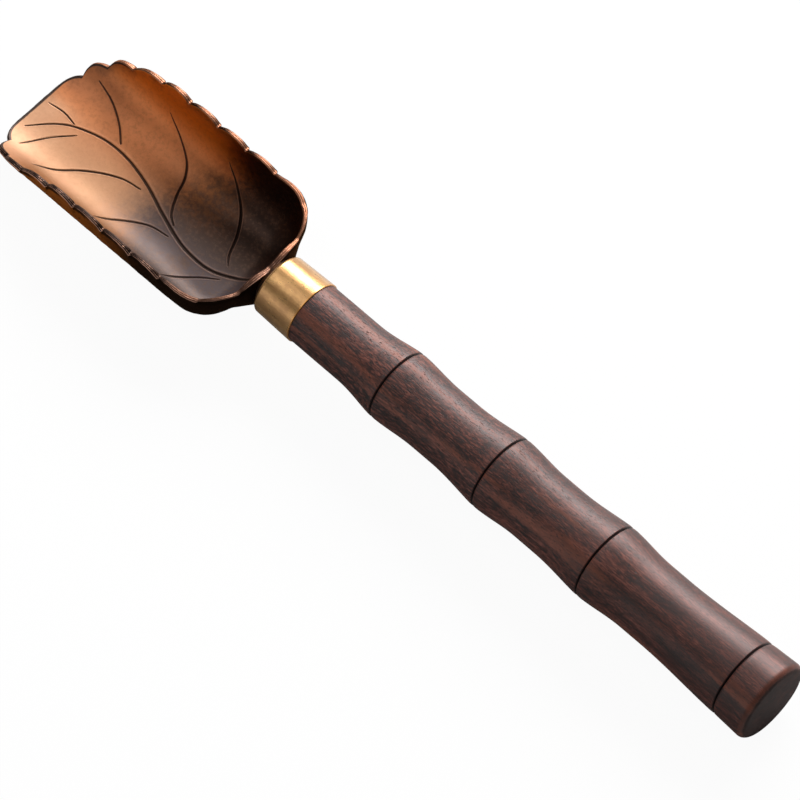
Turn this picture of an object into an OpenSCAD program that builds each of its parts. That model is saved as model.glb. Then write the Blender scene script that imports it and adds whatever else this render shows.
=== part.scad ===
// Tea scoop: a cast leaf-shaped bowl with a scalloped rim, joined by a short collar and a hidden
// threaded rod to a turned wooden handle with bamboo nodes and a brass ferrule. Millimetres, +Z up.
// The scoop lies as on a table: the flat underside of the bowl and the butt of the handle touch z = 0,
// +X runs towards the lip of the bowl, and the origin is under the middle of the length and width.

/* [Handle] */
// Length from the ferrule to the first node
seg1_l = 20.8; // [16:0.2:26]
// Length from the first to the second node
seg2_l = 25; // [20:0.2:32]
// Length from the second to the third node
seg3_l = 25; // [20:0.2:32]
// Length from the third to the fourth node
seg4_l = 32.5; // [26:0.5:40]
// Length from the fourth node to the butt
butt_l = 7; // [4:0.2:12]
// Diameter of the wood behind the ferrule
grip1_d = 12.2; // [11.9:0.1:12.5]
// Diameter at the first node
node1_d = 14.3; // [13:0.1:16]
// Diameter at the second waist
grip2_d = 13.1; // [12:0.1:14]
// Diameter at the second node
node2_d = 15; // [14:0.1:17]
// Diameter at the third waist
grip3_d = 13.7; // [12.5:0.1:14.5]
// Diameter at the third node
node3_d = 15.3; // [14.5:0.1:17]
// Diameter at the fourth waist
grip4_d = 13.9; // [13:0.1:14.8]
// Diameter at the fourth node
node4_d = 15.6; // [15:0.1:16.8]
// Diameter at the butt
butt_d = 16.1; // [15.5:0.1:18]
// Radius of the rounded edge of the butt
butt_edge_r = 0.8; // [0.4:0.1:1.6]
// Width of the scored line at each node
score_w = 0.5; // [0.3:0.05:0.9]
// Depth of the scored line at each node
score_h = 0.4; // [0.2:0.05:0.6]
// Rise of the handle's axis towards the bowl, in degrees
handle_rise = 0.55; // [0:0.05:1.2]

/* [Ferrule] */
// Length of the ferrule
ferrule_l = 8.8; // [7:0.1:12]
// Diameter of the ferrule at its open end
ferrule_d = 12.7; // [12.6:0.1:13.2]
// Diameter of the ferrule at its closed end
ferrule_front_d = 12.2; // [12:0.05:12.6]
// Wall of the ferrule's side
ferrule_wall = 0.45; // [0.3:0.05:0.6]
// Wall of the ferrule's closed end
ferrule_end_wall = 0.6; // [0.4:0.05:1]
// Radius of the rounded shoulder
ferrule_shoulder_r = 1; // [0.5:0.1:1.5]

/* [Collar and rod] */
// Diameter of the collar where it meets the ferrule
collar_d = 8.4; // [6.5:0.1:9]
// Visible length of the collar
collar_l = 1.1; // [0.8:0.05:2]
// Diameter of the threaded rod
rod_d = 4; // [3:0.1:5]
// Depth of the rod inside the wood, from the ferrule's open end
rod_in_wood = 22; // [15:0.5:30]
// Pitch of the rings on the rod that hold the glue
ring_pitch = 2; // [1.5:0.1:3]
// Depth of those rings
ring_h = 0.25; // [0.1:0.05:0.4]
// Clearance of the glued fits, on the radius
glue_gap = 0.06; // [0.03:0.01:0.15]

/* [Bowl] */
// Length of the bowl from its back wall to the lip
bowl_l = 59.5; // [50:0.5:75]
// Width between the side walls at the rim
bowl_w = 28.5; // [26:0.1:34]
// Height of the rim's notches above the table
rim_h = 12.4; // [11.5:0.1:14.5]
// Thickness of the casting
wall = 0.9; // [0.7:0.05:1.2]
// Plan radius of the back corners, inside
corner_r = 8.4; // [8:0.1:10.5]
// Width that the curve from rim to floor takes at the sides
side_run = 12; // [8:0.1:12.5]
// Width that it takes at the back and round the back corners
back_run = 7.6; // [6:0.1:7.8]
// Fullness of that curve at the sides, where 2 is an ellipse
side_power = 2.7; // [2:0.05:3.2]
// Fullness of the back's curve where it meets the floor
back_power = 2.2; // [2:0.05:2.6]
// Fullness of the back's curve where it meets the rim
back_rim_power = 1.3; // [1.2:0.05:2]
// Length of side wall over which the back's curve widens to the sides'
run_blend = 14; // [9:0.5:20]
// Bow of the back wall towards the handle, in plan
back_bow = 0.35; // [0:0.05:0.6]
// Height of a scallop at the sides, above its notches
lobe_h = 1.1; // [0.4:0.05:1.6]
// Outward lean of the scallops, as a share of their height
flare_share = 0.15; // [0:0.01:0.3]
// Radius of the flat seat cast on the back wall
seat_r = 4.9; // [4.5:0.1:5.5]
// Thickness that the seat adds to the back wall
seat_h = 0.2; // [0.1:0.05:0.6]
// Width over which the seat blends into the wall
seat_blend = 4; // [1.5:0.1:4]

/* [Hidden] */

round_fn = 64;
overrun = 0.5;

// Handle stations, as lengths behind the ferrule's open end, and the diameters there
node_at = [0, seg1_l, seg1_l + seg2_l, seg1_l + seg2_l + seg3_l, seg1_l + seg2_l + seg3_l + seg4_l];
node_d = [grip1_d, node1_d, node2_d, node3_d, node4_d];
waist_d = [grip1_d, grip2_d, grip3_d, grip4_d];
handle_l = node_at[4] + butt_l;
// Shares of each segment that fall from one node to the waist, and rise to the next node
fall_shares = [0.1, 0.38, 0.38, 0.3];
rise_shares = [0.46, 0.44, 0.44, 0.58];
profile_steps = 9;
butt_arc_steps = 5;

// Spigot of the handle inside the ferrule, and the bore for the rod
spigot_r = ferrule_front_d / 2 - ferrule_wall - glue_gap;
spigot_l = ferrule_l - ferrule_end_wall - glue_gap;
bore_r = rod_d / 2 + glue_gap;
bore_room = 1.5;
bore_depth = rod_in_wood + bore_room;
rod_tip_chamfer = 0.6;

// Place of the handle: its butt touches the table, and its axis rises to the seat on the bowl
shoulder_z = butt_d / 2 * cos(handle_rise) + (handle_l - butt_edge_r) * sin(handle_rise);
seat_at = ferrule_l + collar_l;
seat_z = shoulder_z + seat_at * sin(handle_rise);
reach_back = handle_l * cos(handle_rise) + (butt_d / 2 - butt_edge_r) * sin(handle_rise);
reach_front = seat_at * cos(handle_rise) + seat_h + bowl_l;
shoulder_x = (reach_back - reach_front) / 2;
seat_x = shoulder_x + seat_at * cos(handle_rise);

// Pan of the bowl: a curved wall between the inner rim outline and a flat floor
half_w = bowl_w / 2;
depth = rim_h - wall;
back_x = seat_x + seat_h + wall;
lip_x = seat_x + seat_h + bowl_l;
straight_back = half_w - corner_r;
corner_l = corner_r * PI / 2;
corner_end = straight_back + corner_l;
corner_x = back_x + back_bow + corner_r;
edge_l = corner_end + lip_x - corner_x;
wall_l = PI / 4 * (3 * (side_run + depth) - sqrt((3 * side_run + depth) * (side_run + 3 * depth)));
floor_half = half_w - side_run;
mid_l = wall_l + floor_half;

// Notches from the middle of the back to the lip: share of the edge's length, share of the wall's
notch_shares = [[0, 0], [0.1075, 0], [0.2127, 0], [0.332, 0], [0.434, 0], [0.536, 0],
                [0.64, 0], [0.74, 0.029], [0.844, 0.163], [0.9185, 0.387], [0.967, 0.675]];
notch_n = len(notch_shares);
// Height of each scallop between those notches, as a share of one at the sides
lobe_shares = [0.7, 0.35, 0.4, 0.8, 0.9, 1, 1, 1, 1.3, 1.45];
lobe_steps = 7;
lip_power = 5;
lip_inset = 3.5;
lip_inset_l = 25;
lip_inner_share = 0.75;
wall_rows = 10;
rows = wall_rows + 1;
stations = notch_n * lobe_steps;
spine_start = corner_x + corner_r / 4;
spine_end = lip_x - 2 * lip_inset;
// Share of the way along the middle line that follows the wall's foot and not the station's number
spine_share = 0.7;

function mix(a, b, t) = a + (b - a) * t;
function ease(t) = t * t * (3 - 2 * t);
function limit(v, low, high) = max(low, min(high, v));

// Half of a node's swelling: 1 at the node, 0 past its length, with a slight crease at the top
function swell(t, power) = t >= 1 ? 0 : 1 - pow(sin(90 * t), power);
rise_power = 1.4;
fall_power = 1.9;

// Radius of the handle in one segment, at a share of its length
function wood_r(i, t) =
    (waist_d[i] + (node_d[i] - waist_d[i]) * swell(t / fall_shares[i], fall_power)
        + (node_d[i + 1] - waist_d[i]) * swell((1 - t) / rise_shares[i], rise_power)) / 2;

function segment_points(i) =
    [for (k = [1 : profile_steps - 1])
        [mix(node_at[i], node_at[i + 1], k / profile_steps), wood_r(i, k / profile_steps)]];

// The scored line at a node, as three points of the profile
function score_points(i) =
    [[node_at[i] - score_w / 2, node_d[i] / 2],
     [node_at[i], node_d[i] / 2 - score_h],
     [node_at[i] + score_w / 2, node_d[i] / 2]];

function butt_points() =
    [for (k = [0 : butt_arc_steps])
        [handle_l - butt_edge_r + butt_edge_r * sin(90 * k / butt_arc_steps),
         butt_d / 2 - butt_edge_r + butt_edge_r * cos(90 * k / butt_arc_steps)]];

// Outline of the handle, as length behind the ferrule's open end and radius
function handle_outline() = concat(
    [[-spigot_l, 0], [-spigot_l, spigot_r], [0, spigot_r], [0, grip1_d / 2]],
    [for (i = [0 : 3]) each concat(segment_points(i), score_points(i + 1))],
    butt_points(),
    [[handle_l, 0]]);

// Turns a profile of lengths and radii about the handle's axis, with lengths running to the butt
module on_axis() {
    translate([shoulder_x, 0, shoulder_z])
        rotate([0, -90 - handle_rise, 0])
            children();
}

module turned(points) {
    rotate_extrude($fn = round_fn)
        polygon([for (p = points) [p.y, p.x]]);
}

module handle() {
    color([0.27, 0.16, 0.14])
        on_axis()
            difference() {
                turned(handle_outline());
                translate([0, 0, -spigot_l - overrun])
                    cylinder(h = bore_depth + spigot_l + overrun, r = bore_r, $fn = round_fn);
            }
}

// A drawn brass cup: closed end with a hole for the rod, rounded shoulder, open end over the wood
module ferrule() {
    inner_r = spigot_r + glue_gap;
    shoulder = [for (k = [0 : butt_arc_steps])
        [-ferrule_l + ferrule_shoulder_r * (1 - sin(90 * k / butt_arc_steps)),
         ferrule_front_d / 2 - ferrule_shoulder_r * (1 - cos(90 * k / butt_arc_steps))]];
    color([0.79, 0.62, 0.33])
        on_axis()
            turned(concat(
                [[-ferrule_l, bore_r]],
                [for (k = [butt_arc_steps : -1 : 0]) shoulder[k]],
                [[0, ferrule_d / 2], [0, inner_r], [-ferrule_l + ferrule_end_wall, inner_r],
                 [-ferrule_l + ferrule_end_wall, bore_r]]));
}

// A short waisted ring, brazed to the seat on the bowl, on which the ferrule bears
module neck_collar() {
    waist_share = 0.94;
    color([0.25, 0.13, 0.07])
        on_axis()
            turned([[-seat_at, bore_r], [-seat_at, collar_d / 2],
                    [-seat_at + collar_l / 2, collar_d / 2 * waist_share],
                    [-ferrule_l, collar_d / 2], [-ferrule_l, bore_r]]);
}

// A rod with ring grooves, brazed to the bowl at the seat and glued into the wood
module tang_rod() {
    ring_room = 2 * ring_pitch;
    ring_n = floor((rod_in_wood - ring_room) / ring_pitch);
    rings = [for (k = [0 : ring_n - 1]) each
        [[ring_room / 2 + k * ring_pitch, rod_d / 2],
         [ring_room / 2 + (k + 1 / 2) * ring_pitch, rod_d / 2 - ring_h]]];
    color([0.74, 0.6, 0.36])
        on_axis()
            turned(concat(
                [[-seat_at, 0], [-seat_at, rod_d / 2]],
                rings,
                [[rod_in_wood - rod_tip_chamfer, rod_d / 2],
                 [rod_in_wood, rod_d / 2 - rod_tip_chamfer],
                 [rod_in_wood, 0]]));
}

// Inner rim outline in plan, from the middle of the back, and its inward direction
function outline(s) =
    s <= straight_back ? [back_x + back_bow * (1 - cos(180 * s / straight_back)) / 2, s]
    : s <= corner_end ? let (a = (s - straight_back) / corner_l * 90)
        [corner_x - corner_r * cos(a), straight_back + corner_r * sin(a)]
    : [corner_x + s - corner_end, half_w];

function inward(s) =
    s <= straight_back ? [1, 0]
    : s <= corner_end ? let (a = (s - straight_back) / corner_l * 90) [cos(a), -sin(a)]
    : [0, -1];

function lean(w) = limit(90 * w / wall_l, 0, 90);

// Exponents and width of the wall's superelliptic curve, which blend from back to side past the corner
function past_back(s) = ease(limit((s - straight_back) / (corner_l + run_blend), 0, 1));
function foot_power(s) = mix(back_power, side_power, past_back(s));
function rim_power(s) = mix(back_rim_power, side_power, past_back(s));
function run_at(s) = mix(back_run, side_run, ease(limit((s - corner_end) / run_blend, 0, 1)));

// Inner face at a length s along the rim and a length w down the wall; w below 0 is above the notches
function run_in(s, w) =
    w <= 0 ? w * flare_share
    : run_at(s) * (1 - pow(cos(lean(w)), 2 / foot_power(s))) + max(0, w - wall_l);

function pan(s, w) =
    let (p = outline(s) + inward(s) * run_in(s, w))
    [p.x, p.y, w <= 0 ? rim_h - w : rim_h - depth * pow(sin(lean(w)), 2 / rim_power(s))];

function pan_normal(s, w) =
    let (out = depth / rim_power(s) * pow(cos(lean(w)), 2 - 2 / foot_power(s)),
         down = run_at(s) / foot_power(s) * pow(sin(lean(w)), 2 - 2 / rim_power(s)),
         v = [-inward(s).x * out, -inward(s).y * out, -down])
    v / norm(v);

function notch(i) = [notch_shares[i].x * edge_l, notch_shares[i].y * wall_l];

// Edge of the leaf in the unrolled sheet: arched scallops between notches, then half of the lip
function scallop(i, t, h) =
    let (a = notch(i), c = notch(i + 1) - a)
    a + c * t + [c.y, -c.x] * 4 * h * t * (1 - t) / norm(c);

function lip(t) =
    let (a = notch(notch_n - 1))
    [mix(a.x, edge_l, 1 - pow(1 - t, lip_power)), mix(a.y, mid_l, t)];

function edge(k, h) =
    let (i = min(floor(k / lobe_steps), notch_n - 1), t = k / lobe_steps - i)
    i < notch_n - 1 ? scallop(i, t, h * lobe_shares[i]) : lip(t);

// Where the wall of a station meets the floor, set back from the edge towards the lip
function foot(k) =
    let (e = edge(k, 0))
    [e.x - lip_inset * pow(max(0, 1 - (edge_l - e.x) / lip_inset_l), 2),
     max(wall_l, mid_l - (half_w - run_in(e.x, e.y)) * lip_inner_share)];

// Place on the middle line for a station, which partly follows the foot of its wall
function spine_x(share, x) =
    mix(spine_start, spine_end,
        mix(share, limit((x - back_x - back_run) / (lip_x - lip_inset - back_x - back_run), 0, 1), spine_share));

// One point of the inner face and its outward direction: rows run from the edge to the middle line
function skin(k, r) =
    let (f = foot(k), q = mix(edge(k, lobe_h), f, min(1, r / wall_rows)))
    r <= wall_rows ? [pan(q.x, q.y), pan_normal(q.x, q.y)]
    : [[spine_x(k / stations, pan(f.x, f.y).x), 0, wall], [0, 0, -1]];

// The outer face is one wall away, and swells to the flat seat for the collar
function outer(q) = seated(q[0] + wall * q[1]);

function seated(p) =
    let (d = norm([p.y, p.z - seat_z]),
         m = 1 - ease(limit((d - seat_r) / seat_blend, 0, 1)),
         x = seat_x - (p.z - seat_z) * tan(handle_rise))
    p.x < back_x + back_run ? [min(p.x, mix(p.x, x, m)), p.y, p.z] : p;

// Numbers of the corners: a near half, then a far half that shares the middle line with it
near_n = (stations + 1) * (rows + 1);
far_n = (stations - 1) * rows;
function corner(side, k, r) =
    side == 0 || k == 0 || k == stations || r == rows ? k * (rows + 1) + r
    : near_n + (k - 1) * rows + r;

module scoop_bowl() {
    near = [for (k = [0 : stations]) each [for (r = [0 : rows]) skin(k, r)]];
    inner_near = [for (q = near) q[0]];
    outer_near = [for (q = near) outer(q)];
    far_of = [for (k = [1 : stations - 1]) each [for (r = [0 : rows - 1]) k * (rows + 1) + r]];
    mirrored = [1, -1, 1];
    inner_far = [for (i = far_of) [for (j = [0 : 2]) inner_near[i][j] * mirrored[j]]];
    outer_far = [for (i = far_of) [for (j = [0 : 2]) outer_near[i][j] * mirrored[j]]];
    skin_n = near_n + far_n;
    inner_faces = [for (side = [0, 1]) each [for (k = [0 : stations - 1]) each [for (r = [0 : rows - 1])
        let (a = corner(side, k, r), b = corner(side, k + 1, r),
             c = corner(side, k + 1, r + 1), d = corner(side, k, r + 1))
        each k < stations / 2
            ? (side == 0 ? [[a, b, d], [b, c, d]] : [[a, d, b], [b, d, c]])
            : (side == 0 ? [[a, b, c], [a, c, d]] : [[a, c, b], [a, d, c]])]]];
    outer_faces = [for (f = inner_faces) [f[2] + skin_n, f[1] + skin_n, f[0] + skin_n]];
    band = [for (side = [0, 1]) each [for (k = [0 : stations - 1])
        let (a = corner(side, k, 0), b = corner(side, k + 1, 0))
        each side == 0 ? [[a, b + skin_n, b], [a, a + skin_n, b + skin_n]]
            : [[a, b, b + skin_n], [a, b + skin_n, a + skin_n]]]];
    color([0.63, 0.38, 0.22])
        polyhedron(
            points = concat(inner_near, inner_far, outer_near, outer_far),
            faces = concat(inner_faces, outer_faces, band));
}

scoop_bowl();
neck_collar();
tang_rod();
ferrule();
handle();
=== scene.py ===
import math

import bmesh
import bpy
import numpy as np
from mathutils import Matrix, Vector


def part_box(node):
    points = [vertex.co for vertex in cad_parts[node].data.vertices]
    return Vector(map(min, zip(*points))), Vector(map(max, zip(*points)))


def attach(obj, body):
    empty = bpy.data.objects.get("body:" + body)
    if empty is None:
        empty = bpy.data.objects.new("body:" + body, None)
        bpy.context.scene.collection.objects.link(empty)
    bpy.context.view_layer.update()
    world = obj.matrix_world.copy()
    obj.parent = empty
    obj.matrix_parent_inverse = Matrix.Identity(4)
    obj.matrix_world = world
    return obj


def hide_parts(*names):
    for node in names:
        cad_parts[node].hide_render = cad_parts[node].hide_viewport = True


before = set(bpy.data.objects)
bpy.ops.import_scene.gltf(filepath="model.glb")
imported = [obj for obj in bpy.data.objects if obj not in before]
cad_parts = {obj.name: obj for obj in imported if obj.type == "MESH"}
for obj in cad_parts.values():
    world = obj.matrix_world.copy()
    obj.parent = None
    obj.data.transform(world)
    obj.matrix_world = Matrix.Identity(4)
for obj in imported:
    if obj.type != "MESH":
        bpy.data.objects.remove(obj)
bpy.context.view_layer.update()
mm = 0.001

# The photograph's view: a long lens, high over the near side of the bowl, turned so that the
# handle runs down to the right.
camera_data = bpy.data.cameras.new("camera")
camera_data.lens = 322.2
camera = bpy.data.objects.new("camera", camera_data)
camera.location = (-0.42293, 0.42934, 1.11330)
camera.rotation_euler = [math.radians(angle) for angle in (28.491, 0.330, -136.108)]
bpy.context.scene.collection.objects.link(camera)
bpy.context.scene.camera = camera
bpy.context.scene.view_settings.view_transform = "Standard"


# The studio: a large softbox over the far side, which draws the long highlights on the handle and
# the near wall of the bowl, a weak one overhead, a low board on the near side, and a pale floor.
def softbox(name, toward, distance, size, power):
    lamp = bpy.data.lights.new(name, "AREA")
    lamp.shape = "RECTANGLE"
    lamp.size, lamp.size_y = size
    lamp.energy = power
    box = bpy.data.objects.new(name, lamp)
    direction = Vector(toward).normalized()
    box.location = direction * distance
    box.rotation_euler = direction.to_track_quat("Z", "Y").to_euler()
    bpy.context.scene.collection.objects.link(box)


softbox("key_softbox", (0.32, -0.78, 0.54), 0.9, (0.75, 0.45), 15)
softbox("top_softbox", (0.28, 0.2, 0.93), 1.1, (0.8, 0.5), 2.3)
softbox("near_board", (0.33, 0.91, 0.25), 1, (0.6, 0.45), 1.15)

world = bpy.data.worlds.new("studio")
world.use_nodes = True
world.node_tree.nodes["Background"].inputs["Color"].default_value = (0.9, 0.875, 0.86, 1)
world.node_tree.nodes["Background"].inputs["Strength"].default_value = 0.15
bpy.context.scene.world = world


class Socket:
    """An output of a node. Arithmetic on it adds Math nodes to its graph."""

    def __init__(self, graph, socket):
        self.graph, self.socket = graph, socket

    def __neg__(self):
        return 0 - self

    def __abs__(self):
        return self.graph.math("ABSOLUTE", self)

    def __add__(self, other):
        return self.graph.math("ADD", self, other)

    def __radd__(self, other):
        return self.graph.math("ADD", other, self)

    def __sub__(self, other):
        return self.graph.math("SUBTRACT", self, other)

    def __rsub__(self, other):
        return self.graph.math("SUBTRACT", other, self)

    def __mul__(self, other):
        return self.graph.math("MULTIPLY", self, other)

    def __rmul__(self, other):
        return self.graph.math("MULTIPLY", other, self)

    def __truediv__(self, other):
        return self.graph.math("DIVIDE", self, other)

    def __mod__(self, other):
        return self.graph.math("MODULO", self, other)

    def __gt__(self, other):
        return self.graph.math("GREATER_THAN", self, other)

    def beside(self, name):
        """Another output of the same node."""
        return Socket(self.graph, self.socket.node.outputs[name])


class Graph:
    """A node tree of a material or of a modifier, written as expressions."""

    def __init__(self, tree):
        self.tree = tree

    def add(self, kind, settings=None, inputs=None, out=0):
        made = self.tree.nodes.new(kind)
        for name, value in (settings or {}).items():
            if name == "stops":
                self.set_stops(made.color_ramp, value)
            else:
                setattr(made, name, value)
        for name, value in (inputs or {}).items():
            if isinstance(value, Socket):
                self.tree.links.new(value.socket, made.inputs[name])
            else:
                made.inputs[name].default_value = value
        return Socket(self, made.outputs[out] if made.outputs else None)

    def set_stops(self, ramp, stops):
        while len(ramp.elements) < len(stops):
            ramp.elements.new(1)
        for element, (place, colour) in zip(ramp.elements, stops):
            element.position, element.color = place, colour

    def math(self, operation, *values):
        return self.add("ShaderNodeMath", {"operation": operation}, dict(enumerate(values)))

    def split(self, vector):
        """X, Y and Z of a vector."""
        x = self.add("ShaderNodeSeparateXYZ", {}, {0: vector})
        return x, x.beside("Y"), x.beside("Z")

    def rise(self, value, low, high):
        """0 below low, 1 above high, with an eased step between them."""
        settings = {"interpolation_type": "SMOOTHSTEP"}
        return self.add("ShaderNodeMapRange", settings, {0: value, 1: low, 2: high})

    def noise(self, place, scale, detail=2, roughness=0.5):
        inputs = {"Vector": place, "Scale": scale, "Detail": detail, "Roughness": roughness}
        return self.add("ShaderNodeTexNoise", {}, inputs)

    def layered(self, ground, *layers):
        """A ground colour under layers, each one the share that it covers and its colour."""
        settings = {"data_type": "RGBA", "blend_type": "MIX", "clamp_factor": True}
        for share, colour in layers:
            ground = self.add("ShaderNodeMix", settings, {0: share, 6: ground, 7: colour}, out=2)
        return ground

    def bump(self, strength, distance, height):
        inputs = {"Strength": strength, "Distance": distance, "Height": height}
        return self.add("ShaderNodeBump", {}, inputs)

    def surface(self, inputs):
        """Ends a material with one Principled shader."""
        shader = self.add("ShaderNodeBsdfPrincipled", {}, inputs)
        self.add("ShaderNodeOutputMaterial", {}, {"Surface": shader})


def new_material(name):
    material = bpy.data.materials.new(name)
    material.use_nodes = True
    material.node_tree.nodes.clear()
    return material, Graph(material.node_tree)


def object_place(graph):
    return graph.add("ShaderNodeTexCoord", out="Object")


def floor_material():
    """White to the camera, and pale for the light that it sends back. Polished pieces see it dim,
    but for the part beside the far side of the scoop."""
    material, graph = new_material("studio_floor")
    pale = graph.add("ShaderNodeBsdfDiffuse", {}, {"Color": (0.86, 0.86, 0.86, 1)})
    dim = graph.add("ShaderNodeBsdfDiffuse", {}, {"Color": (0.1, 0.1, 0.1, 1)})
    white = graph.add("ShaderNodeEmission", {}, {"Color": (1, 1, 1, 1), "Strength": 1})
    camera_ray = graph.add("ShaderNodeLightPath", out="Is Camera Ray")
    shown = (camera_ray + camera_ray.beside("Is Transmission Ray")) * 0.95
    lit = graph.add("ShaderNodeMixShader", {}, {0: shown, 1: pale, 2: white})
    x, y, _ = graph.split(object_place(graph))
    far_side = (1 - graph.rise(y, -30 * mm, 30 * mm)) * graph.rise(x, -140 * mm, -100 * mm)
    dimmed = camera_ray.beside("Is Glossy Ray") * (1 - far_side) * 0.75
    surface = graph.add("ShaderNodeMixShader", {}, {0: dimmed, 1: lit, 2: dim})
    graph.add("ShaderNodeOutputMaterial", {}, {"Surface": surface})
    return material


floor_size = 8
floor_mesh = bpy.data.meshes.new("floor")
half = floor_size / 2
corners = [(-half, -half, 0), (half, -half, 0), (half, half, 0), (-half, half, 0)]
floor_mesh.from_pydata(corners, [], [(0, 1, 2, 3)])
floor_mesh.materials.append(floor_material())
floor = bpy.data.objects.new("floor", floor_mesh)
bpy.context.scene.collection.objects.link(floor)

# The bowl: one thin bronze casting in the form of a leaf, with a flat floor, curved walls, a rim of
# scallops that falls to an open lip, and a flat seat for the collar on its back wall. It is
# polished copper at the lip and left dark at the back, with veins engraved in the floor.
collar_low, collar_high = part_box("neck_collar")
rise = math.radians(0.55)
wall = 0.9 * mm
half_w = 14.25 * mm
rim_h = 12.4 * mm
corner_r = 8.4 * mm
side_run, side_power = 12 * mm, 2.7
back_run, back_power, back_rim_power = 7.6 * mm, 2.2, 1.3
run_blend = 14 * mm
back_bow = 0.35 * mm
flare_share = 0.15
seat_r, seat_h = 4.9 * mm, 0.2 * mm
seat_blend = 4 * mm
bowl_l = 59.5 * mm
depth = rim_h - wall
lip_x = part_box("scoop_bowl")[1].x
back_x = lip_x - bowl_l + wall
seat_x = back_x - wall - seat_h
seat_z = (collar_low.z + collar_high.z) / 2
straight_back = half_w - corner_r
corner_l = corner_r * math.pi / 2
corner_end = straight_back + corner_l
corner_x = back_x + back_bow + corner_r
edge_l = corner_end + lip_x - corner_x
wall_l = math.pi / 4 * (3 * (side_run + depth)
                        - math.sqrt((3 * side_run + depth) * (side_run + 3 * depth)))
mid_l = wall_l + half_w - side_run
# Notches from the middle of the back to the lip, as shares of the edge's length and of the wall's,
# and the height of each scallop between them, as a share of one at the sides.
notch_shares = [(0, 0), (0.1075, 0), (0.2127, 0), (0.332, 0), (0.434, 0), (0.536, 0),
                (0.64, 0), (0.74, 0.029), (0.844, 0.163), (0.9185, 0.387), (0.967, 0.675)]
far_lobe_shares = [0.7, 0.35, 0.4, 0.8, 0.9, 1, 1, 1, 1.3, 1.45]
near_lobe_shares = [1, 0.85, 0.75, 0.9, 0.95, 1, 1, 1, 1.3, 1.45]
lobe_h = 1.1 * mm
lip_power = 5
lip_inset, lip_inset_l = 3.5 * mm, 25 * mm
lip_inner_share = 0.75
rim_lines = 3


def mix(a, b, t):
    return a + (b - a) * t


def ease(t):
    return t * t * (3 - 2 * t)


def section(s, w):
    """Powers of the wall's superelliptic curve, its width and lean, and the way in from the rim."""
    past_back = ease(np.clip((s - straight_back) / (corner_l + run_blend), 0, 1))
    foot_power = mix(back_power, side_power, past_back)
    rim_power = mix(back_rim_power, side_power, past_back)
    run = mix(back_run, side_run, ease(np.clip((s - corner_end) / run_blend, 0, 1)))
    lean = np.clip(w / wall_l, 0, 1) * math.pi / 2
    curved = run * (1 - np.cos(lean) ** (2 / foot_power)) + np.maximum(0, w - wall_l)
    return foot_power, rim_power, run, lean, np.where(w <= 0, w * flare_share, curved)


def pan(s, w):
    """Inner face and its outward direction, s along the rim and w down the wall, as arrays."""
    turn = np.clip((s - straight_back) / corner_l, 0, 1) * math.pi / 2
    along = np.maximum(s - corner_end, 0)
    back = back_bow * (1 - np.cos(math.pi * np.clip(s / straight_back, 0, 1))) / 2
    x = back_x + back + corner_r * (1 - np.cos(turn)) + along
    y = np.minimum(s, straight_back) + corner_r * np.sin(turn)
    inward = np.stack([np.cos(turn), -np.sin(turn)], -1)
    foot_power, rim_power, run, lean, across = section(s, w)
    z = np.where(w <= 0, rim_h - w, rim_h - depth * np.sin(lean) ** (2 / rim_power))
    place = np.stack([x + inward[..., 0] * across, y + inward[..., 1] * across, z], -1)
    out = depth / rim_power * np.cos(lean) ** (2 - 2 / foot_power)
    down = run / foot_power * np.sin(lean) ** (2 - 2 / rim_power)
    normal = np.stack([-inward[..., 0] * out, -inward[..., 1] * out, -down], -1)
    return place, normal / np.linalg.norm(normal, axis=-1, keepdims=True)


def leaf_edge(lobe_steps, lip_steps, far):
    """Edge of half of the leaf in the unrolled sheet, the same line without its scallops, and the
    way along each scallop from its thick end, which on the far side of the back is turned."""
    edge, chord, along = [], [], []
    notches = [np.array([a * edge_l, b * wall_l]) for a, b in notch_shares]
    for i, share in enumerate(far_lobe_shares if far else near_lobe_shares):
        start, span = notches[i], notches[i + 1] - notches[i]
        over = np.array([span[1], -span[0]]) / np.linalg.norm(span) * 4 * lobe_h * share
        for t in np.arange(lobe_steps) / lobe_steps:
            chord.append(start + span * t)
            edge.append(chord[-1] + over * t * (1 - t))
            along.append(1 - t if far and i < 2 and t > 0 else t)
    for t in np.arange(lip_steps + 1) / lip_steps:
        chord.append(np.array([mix(notches[-1][0], edge_l, 1 - (1 - t) ** lip_power),
                               mix(notches[-1][1], mid_l, t)]))
        edge.append(chord[-1])
        along.append(1)
    return np.array(edge), np.array(chord), np.array(along)


def leaf_skin(edge, chord, shares):
    """Inner face of the wall, from its edge at share 0 to the floor at share 1."""
    run_in = section(chord[:, 0], chord[:, 1])[-1]
    back_from_lip = lip_inset * np.maximum(0, 1 - (edge_l - chord[:, 0]) / lip_inset_l) ** 2
    foot = np.stack([chord[:, 0] - back_from_lip,
                     np.maximum(wall_l, mid_l - (half_w - run_in) * lip_inner_share)], -1)
    sheet = mix(edge[:, None], foot[:, None], shares[None, :, None])
    return sheet, *pan(sheet[..., 0], sheet[..., 1])


def seated(place):
    """The outer face, swelled to the collar's seat."""
    far = np.hypot(place[..., 1], place[..., 2] - seat_z)
    share = 1 - ease(np.clip((far - seat_r) / seat_blend, 0, 1))
    plane = seat_x - (place[..., 2] - seat_z) * math.tan(rise)
    x = np.where(place[..., 0] < back_x + back_run,
                 np.minimum(place[..., 0], mix(place[..., 0], plane, share)), place[..., 0])
    return np.stack([x, place[..., 1], place[..., 2]], -1)


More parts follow.
